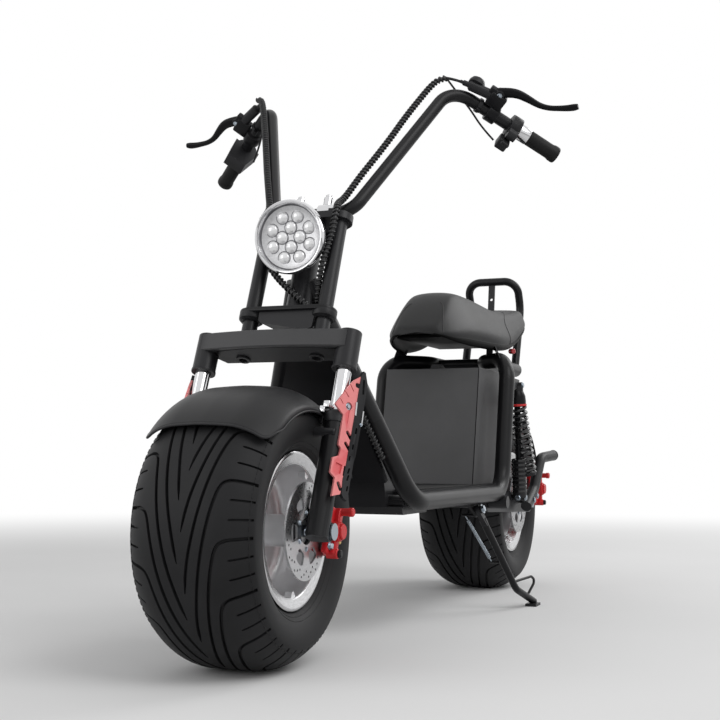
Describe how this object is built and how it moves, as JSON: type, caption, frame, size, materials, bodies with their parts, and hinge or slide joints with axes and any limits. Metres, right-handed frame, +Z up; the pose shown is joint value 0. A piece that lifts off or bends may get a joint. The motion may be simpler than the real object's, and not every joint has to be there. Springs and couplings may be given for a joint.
{
  "type": "electric scooter with seat",
  "caption": "Seated electric scooter with fat tyres, high handlebar, step-through tube frame, battery box under the seat, sprung fork and shocks, disc brakes and a side stand.",
  "frame": {"origin": "on the ground, in the middle of the bounding box", "axes": "+X forwards, +Y to the rider's left, +Z up"},
  "size_m": [1.8379, 0.8992, 1.1257],
  "materials": {
    "tyre_rubber": "matt",
    "rim_metal": "machined",
    "motor_grey": "satin",
    "disc_steel": "brushed",
    "black_paint": "matt",
    "chrome_plate": "polished",
    "bolt_steel": "satin",
    "black_plastic": "matt",
    "black_anodised": "satin",
    "coral_anodised": "satin",
    "grip_rubber": "matt",
    "lamp_chrome": "satin",
    "lamp_lens": "clear",
    "red_paint": "gloss",
    "loom_plastic": "matt",
    "box_paint": "matt",
    "seat_leather": "matt",
    "spring_steel": "gloss",
    "red_lens": "gloss"
  },
  "bodies": {
    "frame": {"frame_loop_left": "black_paint", "frame_loop_right": "black_paint", "head_tube": "black_paint", "cross_tubes": "black_paint", "floor_tray": "black_paint", "front_panel": "black_paint", "battery_box": "box_paint", "box_latch": "black_plastic", "seat_cushion": "seat_leather", "seat_pan": "black_plastic", "grab_rail": "black_paint", "swing_arms": "black_paint", "rear_axle": "bolt_steel", "shock_bodies": "black_anodised", "shock_springs": "spring_steel", "peg_bars": "black_paint", "rear_fender": "black_plastic", "tail_lamp": "red_lens", "rear_caliper": "red_paint", "stand_bracket": "black_paint", "frame_loom": "loom_plastic"},
    "steering": {"top_yoke": "black_paint", "lower_plate": "black_paint", "upper_tubes": "black_paint", "fork_crown": "black_paint", "stanchions": "chrome_plate", "fork_legs": "black_paint", "front_axle": "bolt_steel", "front_fender": "black_plastic", "fork_guards": "black_anodised", "guard_cheeks": "coral_anodised", "handlebar": "black_paint", "bar_clamps": "chrome_plate", "grips": "grip_rubber", "grip_collars": "chrome_plate", "brake_levers": "black_anodised", "switch_pods": "black_plastic", "headlight_shell": "lamp_chrome", "headlight_lens": "lamp_lens", "front_caliper": "red_paint", "bar_looms": "loom_plastic"},
    "front_wheel": {"front_tyre": "tyre_rubber", "front_rim": "rim_metal", "front_disc": "disc_steel"},
    "rear_wheel": {"rear_tyre": "tyre_rubber", "rear_rim": "rim_metal", "motor_hub": "motor_grey", "rear_disc": "disc_steel"},
    "stand": {"side_stand": "black_paint", "stand_spring": "bolt_steel"}
  },
  "joints": [
    {"name": "steering", "type": "hinge", "parent": "frame", "child": "steering", "pos_m": [0.65712, 0, 0.21501], "axis": [-0.3746, 0, 0.9272], "range_deg": [-38, 38]},
    {"name": "front_wheel_spin", "type": "hinge", "parent": "steering", "child": "front_wheel", "pos_m": [0.6905, 0, 0.2285], "axis": [0, 1, 0], "continuous": true},
    {"name": "rear_wheel_spin", "type": "hinge", "parent": "frame", "child": "rear_wheel", "pos_m": [-0.6905, 0, 0.2285], "axis": [0, 1, 0], "continuous": true},
    {"name": "side_stand_fold", "type": "hinge", "parent": "frame", "child": "stand", "pos_m": [-0.16, 0.152, 0.228], "axis": [0.0199, 0.937, 0.3489], "range_deg": [0, 50], "stiffness_Nm_per_rad": 2, "springref_deg": -45.84}
  ]
}
